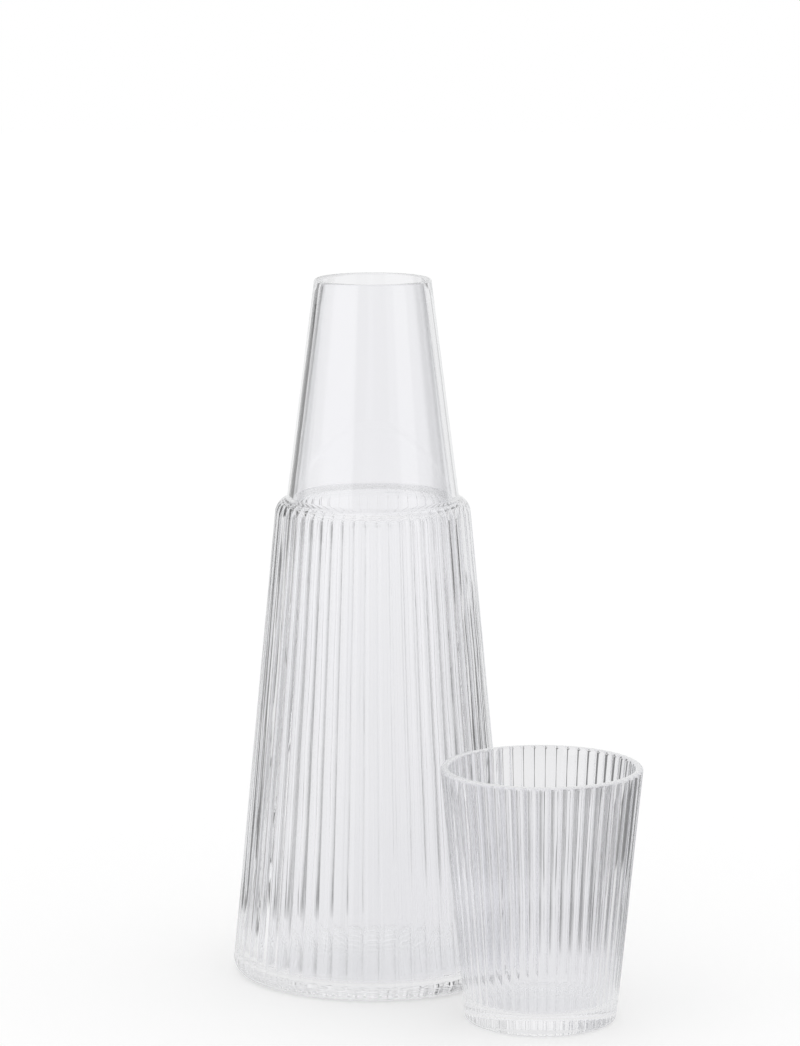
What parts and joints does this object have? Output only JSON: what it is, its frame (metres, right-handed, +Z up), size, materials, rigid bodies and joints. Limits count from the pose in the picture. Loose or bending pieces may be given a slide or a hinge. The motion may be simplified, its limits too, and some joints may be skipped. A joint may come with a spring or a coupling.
{
  "type": "bedside carafe with tumbler",
  "caption": "Clear glass bedside carafe with an upright-reeded conical body and a plain tapered neck, with a matching reeded tumbler that fits over the neck.",
  "frame": {"origin": "middle of the carafe's foot ring, on the plane that the carafe and the tumbler stand on", "axes": "+Z up along the carafe's axis; the tumbler stands beside the carafe towards +X and -Y, which is the viewer's right and front in the picture"},
  "size_m": [0.1491, 0.1584, 0.26],
  "materials": {
    "carafe_glass": "clear blown soda-lime glass, glossy, with upright reeds on the body and a plain neck",
    "tumbler_glass": "clear pressed soda-lime glass, glossy, with upright reeds and a fire-polished rim"
  },
  "bodies": {
    "carafe": {"carafe": "carafe_glass"},
    "tumbler": {"tumbler": "tumbler_glass"}
  },
  "joints": [
    {"name": "tumbler_lift", "type": "slide", "parent": "carafe", "child": "tumbler", "axis": [0, 0, 1], "range_m": [0, 0.3]}
  ]
}
